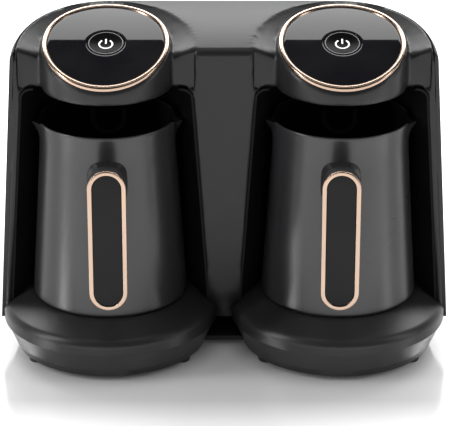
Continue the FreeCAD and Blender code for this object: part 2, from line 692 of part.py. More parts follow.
plate_shape = turned_body("plate_shape", [
    (ZERO, d.head_low_z), (ledge_rad - d.plate_gap, d.head_low_z),
    (ledge_rad - d.plate_gap, d.head_low_z + d.plate_thick), (ZERO, d.head_low_z + d.plate_thick)])
plate_eyed = cut("plate_eyed", plate_shape, cylinder(
    "plate_eye", d.lens_rad, d.plate_thick * 3, 0, d.lens_y, d.head_low_z - d.plate_thick))
lens_turned = turned_body("lens_turned", [
    (ZERO, -d.lens_proud), Arc(d.lens_rad * 1.3), (d.lens_rad, ZERO), (d.lens_rad, d.plate_thick),
    (ZERO, d.plate_thick)])
tell("head pieces")

# Pot: one turned wall with two spouts, cut by the same forms made smaller.
low_r = d.pot_low_rad
skirt_in = low_r - d.pot_wall
pot_outer = [(ZERO, pot_z), (low_r - 1.2, pot_z), (low_r, pot_z + 1.4), (low_r, pot_z + 4),
             (d.pot_neck_rad, neck_z), (d.pot_rim_rad, rim_z), (ZERO, rim_z)]
floor_z = pot_z + d.pot_floor


def spout_sketch(body, name, z, reach, half, inset):
    inside = d.pot_neck_rad * 0.8
    return draw(body_sketch(body, name, "XY_Plane", z), [
        (inside, -half + inset), (reach - inset * 1.6, -1.2 + inset * 0.3), (reach - inset * 1.6, 1.2 - inset * 0.3),
        (inside, half - inset)])


def spout_form(name, inset, top_z):
    body = new_body(name)
    low = spout_sketch(body, name + "_low", rim_z - d.spout_drop, d.pot_neck_rad - 0.6, d.spout_half * 0.7, inset)
    high = spout_sketch(body, name + "_high", top_z, d.spout_reach, d.spout_half * 1.5, inset)
    loft(body, name + "_loft", [low, high])
    return body


spout = spout_form("spout", ZERO, rim_z)
spout_room = spout_form("spout_room", d.pot_wall, rim_z + 0.01)
wall_in = [(ZERO, floor_z + d.pot_wall), (low_r - pot_slope * (d.pot_floor - 4) - d.pot_wall - 2, floor_z + d.pot_wall),
           (low_r - pot_slope * (d.pot_floor - 2) - d.pot_wall, floor_z + d.pot_wall + 2),
           (d.pot_neck_rad - d.pot_wall, neck_z), (d.pot_rim_rad - d.pot_wall, rim_z + 0.01), (ZERO, rim_z + 0.01)]
skirt = [(ZERO, pot_z - 1), (skirt_in - 1.2, pot_z - 1), (skirt_in, pot_z + 2), (skirt_in - pot_slope * 4, floor_z),
         (ZERO, floor_z)]
dip_angle = d.spout_dip / (d.spout_reach - d.pot_neck_rad + 6)
dip_low = new_body("dip")
dip_face = draw(body_sketch(dip_low, "dip_face", "XZ_Plane", -d.spout_half), [
    (d.pot_neck_rad - 7, rim_z), (d.spout_reach + 2, rim_z - d.spout_dip * 1.3), (d.spout_reach + 2, rim_z + 2),
    (d.pot_neck_rad - 7, rim_z + 2)])
pad(dip_low, "dip_pad", dip_face, d.spout_half * 2)
pot_solid = fuse("pot_solid", [turned_body("pot_turned", pot_outer), spout,
                               placed_copy("spout_other", spout, axis=(0, 0, 1), angle=180)])
pot_room = fuse("pot_room", [turned_body("pot_inside", wall_in), spout_room,
                             placed_copy("spout_room_other", spout_room, axis=(0, 0, 1), angle=180)])
pot_shell = cut("pot_shell", pot_solid, fuse("pot_spaces", [
    pot_room, turned_body("pot_skirt", skirt), dip_low,
    placed_copy("dip_other", dip_low, axis=(0, 0, 1), angle=180)]))
mark_r = d.mark_half
mark_top = rim_z - d.mark_drop
mark_bend = mark_top - d.mark_tall + mark_r
mark_y = d.pot_neck_rad - d.pot_wall - d.mark_proud
mark_body = new_body("mark")
mark_face = draw(body_sketch(mark_body, "mark_face", "XZ_Plane", -mark_y), [
    (mark_r, mark_top), (mark_r - d.mark_line, mark_top), (mark_r - d.mark_line, mark_bend),
    Arc(mark_r - d.mark_line), (ZERO, mark_bend - mark_r + d.mark_line),
    Arc(mark_r - d.mark_line), (d.mark_line - mark_r, mark_bend), (d.mark_line - mark_r, mark_top),
    (-mark_r, mark_top), (-mark_r, mark_bend), Arc(mark_r, True), (ZERO, mark_bend - mark_r),
    Arc(mark_r, True), (mark_r, mark_bend)])
pad(mark_body, "mark_pad", mark_face, d.mark_proud + d.pot_wall * 0.5, backwards=True)
pot_shape = fuse("pot_shape", [pot_shell, mark_body])
tell("pot wall")
socket_rad = d.contact_rad + d.contact_gap
heater_z = floor_z - d.heater_thick
heater_shape = turned_body("heater_shape", [
    (ZERO, heater_z), (skirt_in - 2, heater_z), (skirt_in - 2, floor_z), (ZERO, floor_z)])
under_shape = turned_body("under_shape", [
    (socket_rad + 5, pot_z + 0.5), (skirt_in - 1, pot_z + 0.5), (skirt_in - 1, heater_z), (socket_rad + 5, heater_z)])
socket_shape = turned_body("socket_shape", [
    (socket_rad, pot_z + 0.3), (socket_rad + 5, pot_z + 0.3), (socket_rad + 5, heater_z), (ZERO, heater_z),
    (ZERO, heater_z - 1.5), (socket_rad, heater_z - 1.5)])
tell("pot base")

# Handle: a capsule plate, its neck seated on the pot's wall, a frame and an inlay.
half_x = d.handle_half
low_bend = d.handle_low_z + half_x
high_z = d.handle_low_z + d.handle_tall
high_bend = high_z - half_x


def capsule(sketch, inset):
    r = half_x - inset
    return draw(sketch, [
        (r, low_bend), (r, high_bend), Arc(r), (ZERO, high_z - inset), Arc(r), (-r, high_bend), (-r, low_bend),
        Arc(r), (ZERO, d.handle_low_z + inset), Arc(r)])


grip = new_body("grip")
grip_front = d.handle_front - d.trim_deep
grip_plate = pad(grip, "grip_plate", capsule(body_sketch(grip, "grip_face", "XZ_Plane", grip_front), ZERO),
    d.handle_thick - d.trim_deep, backwards=True)
doc.recompute()
back_y = d.handle_thick - d.handle_front
rear_edges = [f"Edge{number}" for number, edge in enumerate(grip.Shape.Edges, 1)
              if edge.BoundBox.YLength < 1e-4 and abs(edge.BoundBox.YMax - back_y.number) < 1e-3]
softened = grip.newObject("PartDesign::Fillet", "grip_softened")
softened.Base = (grip_plate, rear_edges)
bind(softened, "Radius", d.handle_back_edge)
doc.recompute()
neck_top = high_z - d.neck_drop
neck_low = neck_top - d.neck_tall
near = body_sketch(grip, "neck_near", "XZ_Plane", grip_front - 3)
draw(near, [(d.neck_half, neck_low), (d.neck_half, neck_top - 3), (d.neck_half - 3, neck_top),
            (3 - d.neck_half, neck_top), (-d.neck_half, neck_top - 3), (-d.neck_half, neck_low)])
far = body_sketch(grip, "neck_far", "XZ_Plane", d.pot_neck_rad - 6)
draw(far, [(d.neck_flare, neck_low - 3), (d.neck_flare, neck_top - 3), (d.neck_flare - 3, neck_top + 2),
           (3 - d.neck_flare, neck_top + 2), (-d.neck_flare, neck_top - 3), (-d.neck_flare, neck_low - 3)])
loft(grip, "neck", [near, far])
grip_seat = turned_body("grip_seat", pot_outer)
grip_shape = cut("grip_shape", grip, grip_seat)
trim_body = new_body("trim_shape")
pad(trim_body, "trim_pad", capsule(body_sketch(trim_body, "trim_face", "XZ_Plane", d.handle_front), ZERO),
    d.trim_deep, backwards=True)
pad(trim_body, "trim_window", capsule(body_sketch(trim_body, "trim_hole", "XZ_Plane", d.handle_front + 1),
    d.trim_line), d.trim_deep * 3, "PartDesign::Pocket")
inlay_body = new_body("inlay_shape")
pad(inlay_body, "inlay_pad", capsule(body_sketch(inlay_body, "inlay_face", "XZ_Plane",
    d.handle_front - d.inlay_drop), d.trim_line + d.inlay_gap), d.trim_deep - d.inlay_drop, backwards=True)
tell("handle")

for side, sign in SIDES:
    x = d.unit_x * sign
    turn = -d.pot_turn * sign
    for label, source in (("base_top", cover_shape), ("bay_liner", liner_shape), ("base_connector", connector),
                          ("trim_ring", ring_shape), ("top_panel", panel_shape), ("head_underside", plate_eyed)):
        keep(placed_copy(f"{label}_{side}", source, x, axis_y), f"{label}_{side}")
    for label, source in (("power_button", cap), ("control_board", board_shape), ("tact_switch", switch_shape)):
        keep(placed_copy(f"{label}_{side}", source, x, axis_y + d.button_y, button_z, tilt_axis, d.crown_tilt),
             f"{label}_{side}")
    keep(placed_copy(f"sensor_lens_{side}", lens_turned, x, axis_y + d.lens_y, d.head_low_z),
         f"sensor_lens_{side}")
    for label, source in (("pot_body", pot_shape), ("heater_plate", heater_shape), ("pot_base", under_shape),
                          ("pot_socket", socket_shape), ("handle_grip", grip_shape), ("handle_trim", trim_body),
                          ("handle_inlay", inlay_body)):
        keep(placed_copy(f"{label}_{side}", source, x, axis_y, 0, (0, 0, 1), turn), f"{label}_{side}")
    for tag, offset in (("outer", sign), ("inner", -sign)):
        keep(cylinder(f"foot_{side}_{tag}", d.foot_rad, d.base_low_z, x + d.foot_x * offset, axis_y + d.foot_y, 0),
             f"foot_{side}_{tag}")
    keep(cylinder(f"foot_{side}_rear", d.foot_rad, d.base_low_z, d.rear_foot_x * sign, axis_y + d.rear_foot_y, 0),
         f"foot_{side}_rear")
for shared in nodes[:]:
    if shared.Label in ("rear_shell", "rear_cover", "power_board", "cord_gland", "front_housing", "base_chassis"):
        base_y = term(d.board_y) if shared.Label == "power_board" else ZERO
        bind(shared, "Placement.Base.y", axis_y + base_y)
tell("placed")

faults = [thing.Label for thing in doc.Objects if {"Invalid", "Error"} & set(thing.State)]
for node in nodes:
    if node.Shape.isNull() or not node.Shape.isValid() or not node.Shape.Solids:
        faults.append(node.Label)
if faults:
    raise RuntimeError("not built: " + ", ".join(sorted(set(faults))))
os.makedirs("parts", exist_ok=True)
for node in nodes:
    node.Shape.exportStep(f"parts/{node.Label}.step")
    print(f"{node.Label}: {len(node.Shape.Solids)} solid, {node.Shape.Volume / 1000:.2f} cm3")
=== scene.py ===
import json
import math

import bmesh
import bpy
import numpy as np
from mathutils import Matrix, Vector, kdtree

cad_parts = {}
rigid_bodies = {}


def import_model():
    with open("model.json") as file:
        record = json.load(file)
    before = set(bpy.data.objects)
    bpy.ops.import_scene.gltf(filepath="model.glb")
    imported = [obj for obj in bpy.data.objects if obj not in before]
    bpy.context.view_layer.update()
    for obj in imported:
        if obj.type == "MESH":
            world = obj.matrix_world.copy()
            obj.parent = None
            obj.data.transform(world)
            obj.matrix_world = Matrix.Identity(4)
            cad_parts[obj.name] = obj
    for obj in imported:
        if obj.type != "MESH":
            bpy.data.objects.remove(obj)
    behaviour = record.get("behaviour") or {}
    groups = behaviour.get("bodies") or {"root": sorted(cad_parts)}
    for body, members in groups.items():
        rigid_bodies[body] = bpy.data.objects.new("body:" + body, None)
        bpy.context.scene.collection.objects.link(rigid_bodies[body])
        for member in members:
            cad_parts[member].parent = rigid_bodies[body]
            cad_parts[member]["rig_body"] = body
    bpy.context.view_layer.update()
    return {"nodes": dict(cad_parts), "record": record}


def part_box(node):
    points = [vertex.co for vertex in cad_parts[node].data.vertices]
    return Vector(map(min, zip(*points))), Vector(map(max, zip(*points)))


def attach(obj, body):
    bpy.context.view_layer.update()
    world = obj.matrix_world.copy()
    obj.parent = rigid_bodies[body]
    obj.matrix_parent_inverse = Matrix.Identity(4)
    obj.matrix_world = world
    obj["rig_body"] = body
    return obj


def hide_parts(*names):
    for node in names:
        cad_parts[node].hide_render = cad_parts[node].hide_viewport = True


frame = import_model()
sides = (("left", -1.0), ("right", 1.0))
ringLow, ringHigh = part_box("trim_ring_right")
unitX = 500 * (ringLow.x + ringHigh.x)
axisY = 500 * (ringLow.y + ringHigh.y)
print("frame loaded")


# Nodes
class Wire:
    # A node socket that takes arithmetic; colours and vectors go through their own nodes.
    def __init__(self, tree, socket):
        self.tree = tree
        self.socket = socket

    @property
    def vector(self):
        return self.socket.type in ("VECTOR", "RGBA")

    def make(self, kind, output=0, settings=None, **inputs):
        node = self.tree.nodes.new(kind)
        for key, value in (settings or {}).items():
            setattr(node, key, value)
        for key, value in inputs.items():
            place = int(key[1:]) if key[0] == "i" and key[1:].isdigit() else key.replace("_", " ")
            self.feed(node.inputs[place], value)
        return Wire(self.tree, node.outputs[output])

    def feed(self, target, value):
        if isinstance(value, Wire):
            self.tree.links.new(value.socket, target)
        elif isinstance(value, tuple) and target.type == "RGBA" and len(value) == 3:
            target.default_value = (*value, 1)
        else:
            target.default_value = value

    def combine(self, operation, first, second):
        wide = any(isinstance(v, tuple) or (isinstance(v, Wire) and v.vector) for v in (first, second))
        if wide:
            first, second = ((v,) * 3 if isinstance(v, (int, float)) else v for v in (first, second))
        kind = "ShaderNodeVectorMath" if wide else "ShaderNodeMath"
        return self.make(kind, settings={"operation": operation}, i0=first, i1=second)

    def __add__(self, other):
        return self.combine("ADD", self, other)

    def __radd__(self, other):
        return self.combine("ADD", other, self)

    def __sub__(self, other):
        return self.combine("SUBTRACT", self, other)

    def __rsub__(self, other):
        return self.combine("SUBTRACT", other, self)

    def __mul__(self, other):
        return self.combine("MULTIPLY", self, other)

    def __rmul__(self, other):
        return self.combine("MULTIPLY", other, self)

    def noise(self, scale, detail=2.0, rough=0.5):
        return self.make("ShaderNodeTexNoise", Vector=self, Scale=scale, Detail=detail, Roughness=rough)

    def ramp(self, low, high, start=0.0, end=1.0):
        return self.make("ShaderNodeMapRange", Value=self, From_Min=low, From_Max=high, To_Min=start, To_Max=end)

    def blend(self, first, second):
        return self.make("ShaderNodeMix", 2, {"data_type": "RGBA"}, i0=self, i6=first, i7=second)

    def axis(self, letter):
        return self.make("ShaderNodeSeparateXYZ", "XYZ".index(letter), i0=self)


skins = {}


def startSkin(name):
    material = bpy.data.materials.new(name)
    material.use_nodes = True
    tree = material.node_tree
    surface = tree.nodes["Principled BSDF"]
    coords = tree.nodes.new("ShaderNodeTexCoord")
    skins[name] = material
    return surface, Wire(tree, coords.outputs["Object"])


def setBump(surface, height, strength, distance):
    bump = height.make("ShaderNodeBump", Height=height, Strength=strength, Distance=distance)
    bump.feed(surface.inputs["Normal"], bump)


# Moulded plastic: a fine grain, slow drifts of tone and gloss, dust in the lighter patches.
def plasticSkin(name, look):
    surface, place = startSkin(name)
    grain = place.noise(look["grainScale"], 3.0, 0.6)
    drift = place.noise(look["driftScale"], 2.0)
    dust = place.noise(look["driftScale"] * 5, 4.0, 0.65).ramp(0.55, 0.8)
    tone = drift.ramp(0.3, 0.7).blend(look["colour"], look["lightColour"])
    dusty = (dust * look["dust"]).blend(tone, look["dustColour"])
    place.feed(surface.inputs["Base Color"], dusty)
    gloss = look["rough"] + (drift - 0.5) * look["roughDrift"] + (grain - 0.5) * look["roughGrain"]
    place.feed(surface.inputs["Roughness"], gloss)
    surface.inputs["Specular IOR Level"].default_value = look["shine"]
    surface.inputs["Sheen Weight"].default_value = look["sheen"]
    surface.inputs["Sheen Roughness"].default_value = 0.45
    setBump(surface, grain, look["grain"], 0.00006)


# Satin metal or coating: fine level lines, small flecks and a slow drift of tone.
def metalSkin(name, look):
    surface, place = startSkin(name)
    fleck = place.noise(look["grainScale"], 3.0, 0.65)
    drift = place.noise(look["driftScale"], 2.0)
    lines = place.make("ShaderNodeMapping", Vector=place, Scale=look["stretch"]).noise(look["lineScale"], 2.0)
    tone = drift.ramp(0.3, 0.7).blend(look["colour"], look["lightColour"])
    flecked = (fleck.ramp(0.45, 0.75) * look["fleck"]).blend(tone, look["fleckColour"])
    place.feed(surface.inputs["Base Color"], flecked)
    gloss = look["rough"] + (drift - 0.5) * look["roughDrift"] + (lines - 0.5) * look["roughLines"]
    place.feed(surface.inputs["Roughness"], gloss)
    surface.inputs["Metallic"].default_value = look["metal"]
    surface.inputs["Specular IOR Level"].default_value = look["shine"]
    surface.inputs["Coat Weight"].default_value = look["coat"]
    surface.inputs["Coat Roughness"].default_value = look["coatRough"]
    setBump(surface, fleck + lines * look["lineRise"], look["grain"], 0.00005)


# Hard glossy faces, most of them black, with the faintest ripple and wiping marks.
def glossSkin(name, look):
    surface, place = startSkin(name)
    ripple = place.noise(look["rippleScale"], 2.0)
    wipe = place.make("ShaderNodeMapping", Vector=place, Scale=(1, 6, 1)).noise(look["wipeScale"], 4.0, 0.6)
    tone = ripple.ramp(0.3, 0.7).blend(look["colour"], look["lightColour"])
    place.feed(surface.inputs["Base Color"], tone)
    place.feed(surface.inputs["Roughness"], look["rough"] + wipe.ramp(0.5, 0.8) * look["wipe"])
    surface.inputs["Specular IOR Level"].default_value = look["shine"]
    surface.inputs["Coat Weight"].default_value = look["coat"]
    surface.inputs["Coat Roughness"].default_value = look["rough"]
    setBump(surface, ripple, look["ripple"], 0.0001)


plasticBase = {
    "colour": (0.007, 0.007, 0.008), "lightColour": (0.010, 0.010, 0.011), "dustColour": (0.06, 0.06, 0.062),
    "dust": 0.06, "rough": 0.38, "roughDrift": 0.06, "roughGrain": 0.14, "shine": 0.38, "sheen": 0.0,
    "grainScale": 2600.0, "driftScale": 16.0, "grain": 0.35,
}
plasticLooks = {
    "shell": {},
    "cover": {"grainScale": 2100.0, "rough": 0.48},
    "housing": {"rough": 0.36, "shine": 0.34},
    "base": {"colour": (0.009, 0.009, 0.010), "lightColour": (0.013, 0.013, 0.014), "rough": 0.36, "grain": 0.45,
             "grainScale": 1700.0},
    # Bays: darker and less shiny than the housing, painted shade for the deep shade in the bays, on the liners and
    # under the heads.
    "bay": {"colour": (0.004, 0.004, 0.0045), "lightColour": (0.006, 0.006, 0.0065), "rough": 0.6, "shine": 0.12},
    "connector": {"colour": (0.008, 0.008, 0.008), "lightColour": (0.012, 0.012, 0.012), "rough": 0.55},
    "switch": {"colour": (0.02, 0.02, 0.02), "lightColour": (0.03, 0.03, 0.03), "rough": 0.4},
    "circuit_board": {"colour": (0.01, 0.06, 0.03), "lightColour": (0.015, 0.09, 0.045), "rough": 0.35,
                      "grainScale": 900.0},
    "grip": {"colour": (0.009, 0.009, 0.01), "lightColour": (0.013, 0.013, 0.014), "rough": 0.38},
    "rubber": {"colour": (0.012, 0.012, 0.012), "lightColour": (0.02, 0.02, 0.02), "rough": 0.75, "sheen": 0.15,
               "grainScale": 1200.0, "grain": 0.5},
}
for skinName, changes in plasticLooks.items():
    plasticSkin(skinName, {**plasticBase, **changes})

metalBase = {
    "colour": (0.009, 0.009, 0.010), "lightColour": (0.013, 0.013, 0.014), "fleckColour": (0.04, 0.04, 0.043),
    "fleck": 0.3, "metal": 0.0, "shine": 0.62, "coat": 0.0, "coatRough": 0.3, "rough": 0.29, "roughDrift": 0.05,
    "roughLines": 0.05, "grainScale": 2800.0, "driftScale": 14.0, "lineScale": 900.0,
    "stretch": (0.15, 0.15, 1.0), "lineRise": 0.3, "grain": 0.1,
}
metalLooks = {
    "pot_coating": {},
    "pot_inside": {"colour": (0.002, 0.002, 0.002), "lightColour": (0.004, 0.004, 0.004), "rough": 0.5,
                   "shine": 0.18, "fleck": 0.05},
    "mark_coat": {"rough": 0.42, "shine": 0.5},
    "rose_metal": {"colour": (0.42, 0.305, 0.235), "lightColour": (0.48, 0.35, 0.27),
                   "fleckColour": (0.6, 0.45, 0.35), "metal": 1.0, "rough": 0.22, "grain": 0.12, "fleck": 0.2},
    "heater": {"colour": (0.50, 0.50, 0.50), "lightColour": (0.60, 0.60, 0.60), "fleckColour": (0.7, 0.7, 0.7),
               "metal": 1.0, "rough": 0.32},
    "screw_steel": {"colour": (0.20, 0.20, 0.21), "lightColour": (0.28, 0.28, 0.29),
                    "fleckColour": (0.5, 0.5, 0.5), "metal": 1.0, "rough": 0.3},
}
for skinName, changes in metalLooks.items():
    metalSkin(skinName, {**metalBase, **changes})

glossBase = {
    "colour": (0.004, 0.004, 0.005), "lightColour": (0.007, 0.007, 0.008), "rough": 0.03, "wipe": 0.03,
    "shine": 0.13, "coat": 0.0, "rippleScale": 30.0, "wipeScale": 40.0, "ripple": 0.05,
}
glossLooks = {
    "panel": {},
    "inlay": {"rough": 0.10, "shine": 0.16, "colour": (0.002, 0.002, 0.002),
              "lightColour": (0.004, 0.004, 0.004)},
    "button_face": {"rough": 0.22, "shine": 0.02, "colour": (0.002, 0.002, 0.002),
                    "lightColour": (0.003, 0.003, 0.003)},
    "lens": {"colour": (0.03, 0.003, 0.003), "lightColour": (0.05, 0.006, 0.006)},
    "button_ring": {"colour": (0.11, 0.11, 0.115), "lightColour": (0.15, 0.15, 0.155), "rough": 0.2},
    "symbol_white": {"colour": (0.80, 0.80, 0.80), "lightColour": (0.88, 0.88, 0.88), "rough": 0.3},
}
for skinName, changes in glossLooks.items():
    glossSkin(skinName, {**glossBase, **changes})
print("materials made")


# Mesh helpers; all lengths are millimetres until a mesh is made
def gridFaces(rows, columns, closedRows=False, closedColumns=True):
    row = np.arange(rows if closedRows else rows - 1)[:, None]
    column = np.arange(columns if closedColumns else columns - 1)[None, :]
    nextRow, nextColumn = (row + 1) % rows, (column + 1) % columns
    corners = [row * columns + column, row * columns + nextColumn,
               nextRow * columns + nextColumn, nextRow * columns + column]
    return np.stack([np.broadcast_to(c, (row.size, column.size)) for c in corners], -1).reshape(-1, 4)


def finishMesh(mesh, sharp):
    work = bmesh.new()
    work.from_mesh(mesh)
    bmesh.ops.remove_doubles(work, verts=work.verts, dist=1e-6)
    bmesh.ops.dissolve_degenerate(work, dist=1e-7, edges=work.edges)
    bmesh.ops.recalc_face_normals(work, faces=work.faces)
    work.to_mesh(mesh)
    work.free()
    mesh.polygons.foreach_set("use_smooth", np.ones(len(mesh.polygons), bool))
    mesh.set_sharp_from_angle(angle=math.radians(sharp))


def addPiece(name, mesh, skin, body, stands=()):
    mesh.materials.clear()
    mesh.materials.append(skins[skin])
    piece = bpy.data.objects.new(name, mesh)
    bpy.context.scene.collection.objects.link(piece)
    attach(piece, body)
    if stands:
        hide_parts(*stands)
    return piece


def gridPiece(name, points, skin, body, stands=(), closedRows=False, sharp=40):
    rows, columns = points.shape[:2]
    mesh = bpy.data.meshes.new(name)
    mesh.from_pydata((points.reshape(-1, 3) * 0.001).tolist(), [], gridFaces(rows, columns, closedRows).tolist())
    finishMesh(mesh, sharp)
    return addPiece(name, mesh, skin, body, stands)


# Sizes of the rounding in metres; what is kept as it is, in millimetres.
crease = {"size": 0.0016, "reach": 0.006, "rounds": 12, "angle": 24, "grade": 1.3, "splits": 9,
          "seamZ": 26, "seatRad": 42.3, "rearY": 40}


# Triangles get finer towards the creases of a mesh, and averaging there then rounds the creases off.
def roundCreases(mesh, kept):
    size = crease["size"]
    work = bmesh.new()
    work.from_mesh(mesh)
    bmesh.ops.remove_doubles(work, verts=work.verts, dist=1e-6)
    bmesh.ops.dissolve_limit(work, angle_limit=math.radians(0.4), verts=work.verts, edges=work.edges)
    bmesh.ops.triangulate(work, faces=work.faces)
    creases = [e for e in work.edges
               if len(e.link_faces) == 2 and e.calc_face_angle() > math.radians(crease["angle"])
               and not kept(e.verts[0].co) and not kept(e.verts[1].co)]
    spots = [e.verts[0].co.lerp(e.verts[1].co, k / n) for e in creases
             for n in (max(1, math.ceil(e.calc_length() / size)),) for k in range(n + 1)]
    tree = kdtree.KDTree(len(spots))
    for index, spot in enumerate(spots):
        tree.insert(spot, index)
    tree.balance()
    away = lambda point: tree.find(point)[2]
    for _ in range(crease["splits"]):
        far = {v: away(v.co) for v in work.verts}
        nearest = lambda e: min(far[e.verts[0]], far[e.verts[1]], away((e.verts[0].co + e.verts[1].co) / 2))
        coarse = [e for e in work.edges for span in (e.calc_length(),)
                  if span > size and span > crease["grade"] * nearest(e)]
        if not coarse:
            break
        bmesh.ops.subdivide_edges(work, edges=coarse, cuts=1)
        bmesh.ops.triangulate(work, faces=[f for f in work.faces if len(f.verts) > 3])
    near = [v for v in work.verts if not kept(v.co) and away(v.co) < crease["reach"]]
    for _ in range(crease["rounds"]):
        bmesh.ops.smooth_vert(work, verts=near, factor=0.5, use_axis_x=True, use_axis_y=True, use_axis_z=True)
    work.to_mesh(mesh)
    work.free()


# Left as they are: the ring seats and what lies inside them, the seam with the base, and the rear.
def housingKept(point):
    x, y, z = abs(point.x) * 1000 - unitX, point.y * 1000 - axisY, point.z * 1000
    return z < crease["seamZ"] or math.hypot(x, y) < crease["seatRad"] or y > crease["rearY"]


# A smooth copy of a construction node, its doubles merged and its normals weighted by face area.
def smoothCopy(node, name, skin, sharp):
    mesh = frame["nodes"][node].data.copy()
    if node == "front_housing":
        roundCreases(mesh, housingKept)
    finishMesh(mesh, sharp)
    body = frame["nodes"][node]["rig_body"]
    piece = addPiece(name, mesh, skin, body, (node,))
    weigh = piece.modifiers.new("weigh", "WEIGHTED_NORMAL")
    weigh.keep_sharp = True


slotNames = {row["node"]: row["material_slot"] for row in frame["record"]["subparts"]}


def slotOf(node):
    return slotNames[node]


# Every inner corner of an open chain of points becomes a short curve drawn from one side to the other.
def softChain(points, radii, steps=5):
    points = np.array(points, float)
    radii = np.broadcast_to(np.array(radii, float), len(points) - 2)[:, None]
    corner, before, after = points[1:-1], points[:-2], points[2:]
    inLong = np.linalg.norm(before - corner, axis=1, keepdims=True)
    outLong = np.linalg.norm(after - corner, axis=1, keepdims=True)
    reach = np.minimum(radii, 0.46 * np.minimum(inLong, outLong))
    start = corner + (before - corner) / inLong * reach
    end = corner + (after - corner) / outLong * reach
    t = np.linspace(0, 1, steps)[None, :, None]
    curve = (1 - t) ** 2 * start[:, None] + 2 * t * (1 - t) * corner[:, None] + t ** 2 * end[:, None]
    return np.concatenate([points[:1], curve.reshape(-1, 2), points[-1:]])


# Long steps of a chain are divided evenly so that no step is longer than the limit.
def fineChain(chain, limit):
    parts = np.maximum(1, np.ceil(np.linalg.norm(np.diff(chain, axis=0), axis=1) / limit)).astype(int)
    index = np.repeat(np.arange(len(parts)), parts)
    share = (np.arange(parts.sum()) - np.repeat(np.cumsum(parts) - parts, parts)) / parts[index]
    made = chain[index] + (chain[index + 1] - chain[index]) * share[:, None]
    return np.concatenate([made, chain[-1:]])


def circleAngles(count):
    return np.arange(count) * (2 * math.pi / count)


# Turned form: radius times cosine and sine of the angle, at the chain's height.
def turned(chain, count=128):
    angle = circleAngles(count)[None, :]
    radius, height = chain[:, :1], chain[:, 1:]
    return np.stack([radius * np.cos(angle), radius * np.sin(angle), height + 0 * angle], -1)


def placed(points, sign, turn=0.0):
    c, s = math.cos(math.radians(turn)), math.sin(math.radians(turn))
    x, y, z = points[..., 0], points[..., 1], points[..., 2]
    return np.stack([c * x - s * y + unitX * sign, s * x + c * y + axisY, z], -1)


def smoothStep(value, low, high):
    t = np.clip((value - low) / (high - low), 0, 1)
    return t * t * (3 - 2 * t)


# Larger of two fields with their meeting rounded over the given width.
def softMax(first, second, width):
    share = np.clip(0.5 + 0.5 * (first - second) / width, 0, 1)
    return second + (first - second) * share + width * share * (1 - share)


def softMin(first, second, width):
    return -softMax(-first, -second, width)


# Pots
pot = {
    "foot": 40.3, "rim": 163.7, "neck": 147.7, "lowRad": 51.6, "neckRad": 44.7, "rimRad": 45.5, "wall": 1.4,
    "floor": 52.3, "spoutReach": 50.3, "spoutHalf": 13.0, "spoutTall": 24.0, "spoutDip": 3.6,
    "spoutCurve": 2.0, "turn": 2.0, "around": 384,
}


def potWall(z):
    return np.interp(z, [pot["foot"] + 4, pot["neck"], pot["rim"]],
                     [pot["lowRad"], pot["neckRad"], pot["rimRad"]])


# A spout is two flat flanks that meet at its tip; in each direction the pot takes the larger radius. A flank's
# radius is its distance from the axis over the cosine of the angle to its normal, held past its nearest point.
def potRadius(wallRad, angle, z, inset):
    rise = np.clip((z - pot["rim"] + pot["spoutTall"]) / pot["spoutTall"], 0, 1) ** pot["spoutCurve"]
    half = (0.66 + 0.84 * rise) * pot["spoutHalf"] - inset
    reach = pot["neckRad"] - 0.8 + (pot["spoutReach"] - pot["neckRad"] + 0.8) * rise - inset * 1.3
    deep = reach - pot["neckRad"] * 0.8
    off = np.arccos(np.abs(np.cos(angle)))
    slant = np.arctan2(deep, half)
    flank = half * reach / np.hypot(half, deep) / np.cos(np.minimum(off, slant) - slant)
    lip = softMin(flank, reach + 0 * flank, 1.2)
    return np.where(z > pot["rim"] - pot["spoutTall"], softMax(wallRad, lip, 1.2), wallRad)


